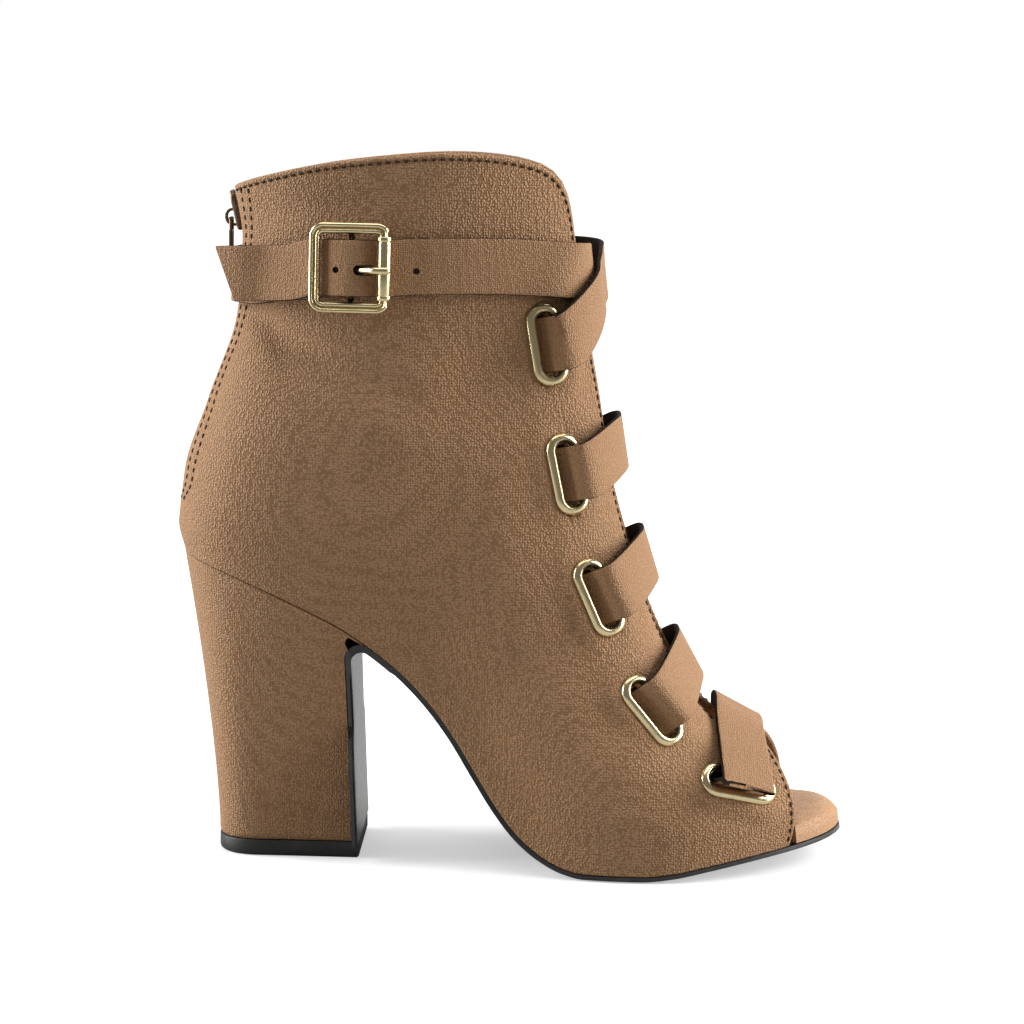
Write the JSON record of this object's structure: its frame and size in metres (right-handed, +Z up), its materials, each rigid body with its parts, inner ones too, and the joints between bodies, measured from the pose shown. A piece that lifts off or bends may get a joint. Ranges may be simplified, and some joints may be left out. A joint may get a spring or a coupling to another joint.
{
  "type": "ankle bootie",
  "caption": "Right peep-toe ankle bootie with an open front laced by a flat strap through long eyelets, an ankle buckle, a back zip and a block heel.",
  "frame": {"origin": "middle of the heel tip's floor face", "axes": "+X towards the toe, -Y the outer side of the foot, +Z up"},
  "size_m": [0.2115, 0.0829, 0.2204],
  "materials": {
    "upper": "fine pebbled, matte",
    "insole": "fine pebbled, matte",
    "outsole": "smooth, low gloss",
    "heel": "fine pebbled, matte",
    "top_piece": "matte",
    "eyelet_outer_1": "pale gold, polished",
    "eyelet_outer_2": "pale gold, polished",
    "eyelet_outer_3": "pale gold, polished",
    "eyelet_outer_4": "pale gold, polished",
    "eyelet_outer_5": "pale gold, polished",
    "eyelet_inner_1": "pale gold, polished",
    "eyelet_inner_2": "pale gold, polished",
    "eyelet_inner_3": "pale gold, polished",
    "eyelet_inner_4": "pale gold, polished",
    "eyelet_inner_5": "pale gold, polished",
    "lace_crossing_1": "smooth, matte",
    "lace_crossing_2": "smooth, matte",
    "lace_crossing_3": "smooth, matte",
    "lace_crossing_4": "smooth, matte",
    "ankle_strap_inner": "smooth, matte",
    "ankle_strap_outer": "smooth, matte",
    "buckle_frame": "pale gold, polished",
    "buckle_roller": "pale gold, polished",
    "buckle_prong": "pale gold, polished",
    "zip_tape": "woven",
    "zip_teeth": "antique, dull",
    "zip_slider": "antique, dull",
    "zip_pull": "antique, dull"
  },
  "bodies": {
    "boot": {"upper": "upper", "insole": "insole", "outsole": "outsole", "heel": "heel", "top_piece": "top_piece", "eyelet_outer_1": "eyelet_outer_1", "eyelet_outer_2": "eyelet_outer_2", "eyelet_outer_3": "eyelet_outer_3", "eyelet_outer_4": "eyelet_outer_4", "eyelet_outer_5": "eyelet_outer_5", "eyelet_inner_1": "eyelet_inner_1", "eyelet_inner_2": "eyelet_inner_2", "eyelet_inner_3": "eyelet_inner_3", "eyelet_inner_4": "eyelet_inner_4", "eyelet_inner_5": "eyelet_inner_5", "lace_crossing_1": "lace_crossing_1", "lace_crossing_2": "lace_crossing_2", "lace_crossing_3": "lace_crossing_3", "lace_crossing_4": "lace_crossing_4", "ankle_strap_inner": "ankle_strap_inner", "ankle_strap_outer": "ankle_strap_outer", "buckle_frame": "buckle_frame", "buckle_roller": "buckle_roller", "buckle_prong": "buckle_prong", "zip_tape": "zip_tape", "zip_teeth": "zip_teeth", "zip_slider": "zip_slider"},
    "pull": {"zip_pull": "zip_pull"}
  },
  "joints": [
    {"name": "zip_pull_swing", "type": "hinge", "parent": "boot", "child": "pull", "pos_m": [-0.01951, 0, 0.19876], "axis": [0, 1, 0], "range_deg": [0, 170]}
  ]
}
